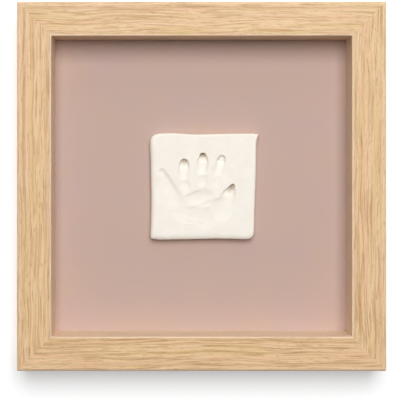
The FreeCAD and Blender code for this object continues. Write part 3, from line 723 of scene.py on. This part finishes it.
def rimRound(a, b):
    # the rounding for a place on the edge of the square, blended at the corners
    sides = [max(b, 0.0) ** 10, max(a, 0.0) ** 10, max(-b, 0.0) ** 10, max(-a, 0.0) ** 10]
    return [sum(side * rounding[axis] for side, rounding in zip(sides, tilePlan["rimRounds"])) / sum(sides)
            for axis in range(2)]


def makeTile():
    faceY, backY = tileBox[0].y, tileBox[1].y
    startAlone()
    bpy.ops.mesh.primitive_grid_add(x_subdivisions=tilePlan["steps"], y_subdivisions=tilePlan["steps"], size=2,
                                    location=(0, 0, 0), rotation=(math.radians(90), 0, 0))
    tile = bpy.context.object
    bpy.ops.object.transform_apply(location=True, rotation=True, scale=True)
    hollows = tile.data.attributes.new("hollow", "FLOAT", "POINT")
    rims = {}
    for index, vertex in enumerate(tile.data.vertices):
        a, b = vertex.co.x, vertex.co.z
        ring = max(abs(a), abs(b))
        if ring < 1e-6:
            x, z, drop = 0.0, 0.0, 0.0
        else:
            key = (round(a / ring, 5), round(b / ring, 5))
            if key not in rims:
                rims[key] = (rimPoint(*key), *rimRound(*key))
            rim, faceRound, rimDrop = rims[key]
            span = rim.length
            inward = (1 - ring) * span
            drop = 0.0
            if inward < faceRound:
                angle = (1 - inward / faceRound) * math.pi / 2
                inward = faceRound * (1 - math.sin(angle))
                drop = rimDrop * (1 - math.cos(angle))
            x, z = rim * (1 - inward / span)
        depth, leanX, leanZ = printRelief(x, z)
        hollows.data[index].value = max(depth, 0.0)
        slow = noise.noise(Vector((x / 17, z / 17, 3.1))) + 0.4 * noise.noise(Vector((x / 5.5, z / 5.5, 8.7)))
        depth += drop - tilePlan["unevenness"] * slow * (1 - min(drop, 1.0))
        vertex.co = ((x + leanX + tilePlan["centre"][0]) * mm, faceY + max(depth, 0.0) * mm,
                     (z + leanZ + tilePlan["centre"][1]) * mm)
    startEdit(tile, "EDGE")
    bpy.ops.mesh.select_non_manifold(extend=False, use_wire=False, use_boundary=True, use_multi_face=False,
                                     use_non_contiguous=False, use_verts=False)
    # the wall goes back in steps that even out the rim, and its last step is drawn in
    centre = (tilePlan["centre"][0] * mm, backY, tilePlan["centre"][1] * mm)
    for flat in (0.8, 0.5, 0.0):
        bpy.ops.mesh.extrude_region_move(TRANSFORM_OT_translate={"value": (0, 0, 0)})
        level = backY - tilePlan["backRound"] * mm * (1 + 3 * flat)
        bpy.ops.transform.resize(value=(1, flat, 1), center_override=(0, level, 0))
    bpy.ops.mesh.extrude_region_move(TRANSFORM_OT_translate={"value": (0, tilePlan["backRound"] * mm, 0)})
    bpy.ops.transform.resize(value=(tilePlan["backDraw"], 1, tilePlan["backDraw"]), center_override=centre)
    bpy.ops.mesh.edge_face_add()
    bpy.ops.mesh.select_all(action="SELECT")
    bpy.ops.mesh.normals_make_consistent(inside=False)
    bpy.ops.object.mode_set(mode="OBJECT")
    return finishPiece(tile, "handprint_tile", replaced=("clay_tile",), smoothAngle=55)


# clay of the tile
clayPlan = {
    "white": "#FFF9EF",
    "warm": "#FDF5E9",
    "paintedHollowShade": "#B9AE98",      # painted shade: greyer clay in the deepest hollows, under the fingertips
    "smear": 9.0,           # marks of the fingers that smoothed it, mm
    "tooth": 0.7,           # chalky grain, coarser than the real one so that it shows, mm
}


def makeClay():
    # Air-dry clay, rolled, cut and left white: chalky and matt, with a fine tooth and faint smears from the fingers.
    material, tree, shader, place = newMaterial("air-dry clay", Roughness=0.85, Specular_IOR_Level=0.25)
    smears = addNode(tree, "ShaderNodeTexNoise", {"Vector": place, "Scale": 1 / clayPlan["smear"], "Detail": 3.0,
                                                  "Roughness": 0.6}).outputs["Fac"]
    tooth = addNode(tree, "ShaderNodeTexNoise", {"Vector": place, "Scale": 1 / clayPlan["tooth"], "Detail": 4.0,
                                                 "Roughness": 0.65}).outputs["Fac"]
    white = addNode(tree, "ShaderNodeValToRGB", {"Fac": smears}, stops=(
        (0.3, fromHex(clayPlan["white"])), (0.7, fromHex(clayPlan["warm"]))))
    # painted shade: the clay is greyed where the print is deepest, under the fingertips
    hollow = addNode(tree, "ShaderNodeAttribute", attribute_name="hollow")
    paintedHollowShade = addNode(tree, "ShaderNodeMapRange", {"Value": hollow.outputs["Fac"], "From Min": 2.4, "From Max": 6.0},
                   interpolation_type="SMOOTHSTEP")
    colour = addNode(tree, "ShaderNodeMix", {0: paintedHollowShade.outputs["Result"], 6: white.outputs["Color"],
                                             7: fromHex(clayPlan["paintedHollowShade"])}, data_type="RGBA").outputs[2]
    tree.links.new(colour, shader.inputs["Base Color"])
    fine = addNode(tree, "ShaderNodeBump", {"Height": tooth, "Distance": 0.05 * mm})
    slow = addNode(tree, "ShaderNodeBump", {"Height": smears, "Distance": 0.25 * mm,
                                            "Normal": fine.outputs["Normal"]})
    tree.links.new(slow.outputs["Normal"], shader.inputs["Normal"])
    return material


tile = makeTile()
dress(tile, makeClay())
print("tile pressed")


# foam tape between the tile and the card
foamPlan = {
    "white": "#F1EFE9",
    "cellShade": "#DAD7CE",
    "cell": 0.45,           # mm
    "edgeRound": 0.25 * mm,
}


def makeFoamTape():
    # Closed-cell polyethylene foam tape: soft matt white with fine round cells.
    material, tree, shader, place = newMaterial("white foam tape", Roughness=0.9, Specular_IOR_Level=0.2)
    cells = addNode(tree, "ShaderNodeTexVoronoi", {"Vector": place,
                                                   "Scale": 1 / foamPlan["cell"]}).outputs["Distance"]
    colour = addNode(tree, "ShaderNodeValToRGB", {"Fac": cells}, stops=(
        (0.1, fromHex(foamPlan["white"])), (0.9, fromHex(foamPlan["cellShade"]))))
    tree.links.new(colour.outputs["Color"], shader.inputs["Base Color"])
    pitted = addNode(tree, "ShaderNodeBump", {"Height": cells, "Distance": 0.08 * mm})
    tree.links.new(pitted.outputs["Normal"], shader.inputs["Normal"])
    return material


def makeFoamPad(node, name, material):
    low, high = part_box(node)
    startAlone()
    bpy.ops.mesh.primitive_cube_add(size=1, location=(low + high) / 2, scale=high - low)
    pad = bpy.context.object
    bpy.ops.object.transform_apply(location=True, rotation=True, scale=True)
    startEdit(pad, "EDGE")
    bpy.ops.mesh.select_all(action="SELECT")
    bpy.ops.mesh.bevel(offset=foamPlan["edgeRound"], segments=3, affect="EDGES")
    bpy.ops.object.mode_set(mode="OBJECT")
    finishPiece(pad, name, replaced=(node,), smoothAngle=40)
    dress(pad, material)


foamTape = makeFoamTape()
for number, corner in enumerate(("top_left", "top_right", "bottom_right", "bottom_left"), start=1):
    makeFoamPad(f"foam_pad_{number}", "foam_tape_" + corner, foamTape)


# round bumpers at the back corners
bumperPlan = {
    "rubber": "#2B2A29",
    "worn": "#3B3A38",
    "scuff": 3.0,           # mm
    "grain": 0.35,          # mm
    "domeRound": 1.7 * mm,
    "footRound": 0.25 * mm,
    "steps": 64,
}


def makeRubber():
    # Moulded thermoplastic rubber: dark, soft and matt, with a fine spark-eroded grain and paler scuffs.
    material, tree, shader, place = newMaterial("moulded rubber", Roughness=0.72, Specular_IOR_Level=0.4)
    scuffs = addNode(tree, "ShaderNodeTexNoise", {"Vector": place, "Scale": 1 / bumperPlan["scuff"], "Detail": 5.0,
                                                  "Roughness": 0.7})
    colour = addNode(tree, "ShaderNodeValToRGB", {"Fac": scuffs.outputs["Fac"]}, stops=(
        (0.4, fromHex(bumperPlan["rubber"])), (0.75, fromHex(bumperPlan["worn"]))))
    tree.links.new(colour.outputs["Color"], shader.inputs["Base Color"])
    grain = addNode(tree, "ShaderNodeTexNoise", {"Vector": place, "Scale": 1 / bumperPlan["grain"], "Detail": 2.0})
    eroded = addNode(tree, "ShaderNodeBump", {"Height": grain.outputs["Fac"], "Distance": 0.03 * mm})
    tree.links.new(eroded.outputs["Normal"], shader.inputs["Normal"])
    return material


def makeBumper(node, material):
    low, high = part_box(node)
    size, centre = high - low, (low + high) / 2
    startAlone()
    bpy.ops.mesh.primitive_cylinder_add(vertices=bumperPlan["steps"], radius=size.x / 2, depth=size.y,
                                        location=centre, rotation=(math.radians(90), 0, 0))
    bumper = bpy.context.object
    bpy.ops.object.transform_apply(location=True, rotation=True, scale=True)
    for side, rounding, segments in ((high.y, bumperPlan["domeRound"], 8), (low.y, bumperPlan["footRound"], 3)):
        selectEdges(bumper, lambda a, b: abs(a.y - side) < hair and abs(b.y - side) < hair)
        bpy.ops.mesh.bevel(offset=rounding, segments=segments, affect="EDGES")
        bpy.ops.object.mode_set(mode="OBJECT")
    finishPiece(bumper, "rubber_" + node, replaced=(node,), smoothAngle=40)
    dress(bumper, material)


rubber = makeRubber()
for node in ("bumper_top_a", "bumper_top_b", "bumper_bottom_a", "bumper_bottom_b"):
    makeBumper(node, rubber)
print("foam tape and bumpers made")


# turn buttons and hanger plate, with the edges that pressing rounds
plateEdgeRound = 0.25 * mm


def makePressedPlate(node, name, body="root"):
    # starts from a merged copy of the CAD plate, whose outline, bend and holes are right
    plate = bpy.data.objects.new(name, frame["nodes"][node].data.copy())
    bpy.context.scene.collection.objects.link(plate)
    startEdit(plate, "EDGE")
    bpy.ops.mesh.select_all(action="SELECT")
    bpy.ops.mesh.remove_doubles(threshold=hair)
    bpy.ops.mesh.dissolve_limited(angle_limit=math.radians(1))
    bpy.ops.mesh.select_all(action="DESELECT")
    bpy.ops.mesh.edges_select_sharp(sharpness=math.radians(40))
    bpy.ops.mesh.bevel(offset=plateEdgeRound, segments=2, affect="EDGES")
    bpy.ops.object.mode_set(mode="OBJECT")
    finishPiece(plate, name, body=body, replaced=(node,), smoothAngle=35)
    dress(plate, zincPlate)


for joint in frame["joints"]:
    makePressedPlate(joint["child"], "zinc_" + joint["child"], joint["child"])
makePressedPlate("keyhole_hanger", "zinc_keyhole_plate")


# pan-head wood screws with a cross drive
screwPlan = {
    "headRadius": 3.0 * mm,
    "headHeight": 1.8 * mm,
    "rimRound": 0.95 * mm,
    "shankRadius": 1.5 * mm,
    "shankLength": 9.0 * mm,
    "tipLength": 3.0 * mm,
    "tipShare": 0.15,                     # of the shank's thickness, at the very tip
    "crossSpan": 3.2 * mm,
    "crossWidth": 0.9 * mm,
    "crossDepth": 1.0 * mm,
    "crossTaper": (0.55, 0.75),           # what is left of its span and width at the bottom
    "steps": 48,
    "turns": (12, 71, 38, 5, 57, 84),     # degrees that each screw stopped at
}


def modelScrew():
    # seat at y = 0, head towards the wall and point into the wood
    plan = screwPlan
    startAlone()
    bpy.ops.mesh.primitive_cylinder_add(vertices=plan["steps"], radius=plan["headRadius"], depth=plan["headHeight"],
                                        location=(0, plan["headHeight"] / 2, 0), rotation=(math.radians(90), 0, 0))
    screw = bpy.context.object
    bpy.ops.object.transform_apply(location=True, rotation=True, scale=True)
    selectEdges(screw, lambda a, b: min(a.y, b.y) > plan["headHeight"] * 0.99)
    bpy.ops.mesh.bevel(offset=plan["rimRound"], segments=6, affect="EDGES")
    bpy.ops.object.mode_set(mode="OBJECT")
    selectFaces(screw, lambda face: face.center.y < hair and face.normal.y < -0.9)
    bpy.ops.mesh.inset(thickness=plan["headRadius"] - plan["shankRadius"])
    bpy.ops.mesh.extrude_region_move(TRANSFORM_OT_translate={"value": (0, -plan["shankLength"], 0)})
    bpy.ops.mesh.extrude_region_move(TRANSFORM_OT_translate={"value": (0, -plan["tipLength"], 0)})
    bpy.ops.transform.resize(value=(plan["tipShare"], 1, plan["tipShare"]))
    bpy.ops.object.mode_set(mode="OBJECT")
    for turn in (0, 90):
        startAlone()
        bpy.ops.mesh.primitive_cube_add(size=1, location=(0, plan["headHeight"], 0),
                                        scale=(plan["crossSpan"], plan["crossDepth"] * 2, plan["crossWidth"]))
        cutter = bpy.context.object
        bpy.ops.object.transform_apply(location=True, rotation=True, scale=True)
        selectFaces(cutter, lambda face: face.normal.y < -0.9)
        spanLeft, widthLeft = plan["crossTaper"]
        bpy.ops.transform.resize(value=(spanLeft, 1, widthLeft), center_override=(0, 0, 0))
        bpy.ops.object.mode_set(mode="OBJECT")
        cutter.rotation_euler.y = math.radians(turn)
        startAlone()
        bpy.context.view_layer.objects.active = screw
        cut = screw.modifiers.new("cross drive", "BOOLEAN")
        cut.operation, cut.solver, cut.object = "DIFFERENCE", "EXACT", cutter
        bpy.ops.object.modifier_apply(modifier=cut.name)
        bpy.data.objects.remove(cutter)
    return screw


def placeScrews(node, name, places):
    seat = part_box(node)[1].y - screwPlan["headHeight"]
    startAlone()
    copies = []
    for (across, up), turn in zip(places, screwPlan["turns"]):
        copy = bpy.data.objects.new(name, screw.data.copy())
        bpy.context.scene.collection.objects.link(copy)
        copy.location = (across, seat, up)
        copy.rotation_euler.y = math.radians(turn)
        copy.select_set(True)
        copies.append(copy)
    bpy.context.view_layer.objects.active = copies[0]
    bpy.ops.object.join()
    finishPiece(copies[0], name, replaced=(node,), smoothAngle=35)
    dress(copies[0], zincScrew)


screw = modelScrew()
buttonPlaces = [(joint["pos_m"][0], joint["pos_m"][2]) for joint in frame["joints"]]
placeScrews("button_screws", "turn_button_screws", buttonPlaces)
hangerLow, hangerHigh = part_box("hanger_screws")
hangerLevel = (hangerLow.z + hangerHigh.z) / 2
hangerEnds = (hangerLow.x + screwPlan["headRadius"], hangerHigh.x - screwPlan["headRadius"])
placeScrews("hanger_screws", "keyhole_plate_screws", [(across, hangerLevel) for across in hangerEnds])
bpy.data.objects.remove(screw)
print("back fittings made")
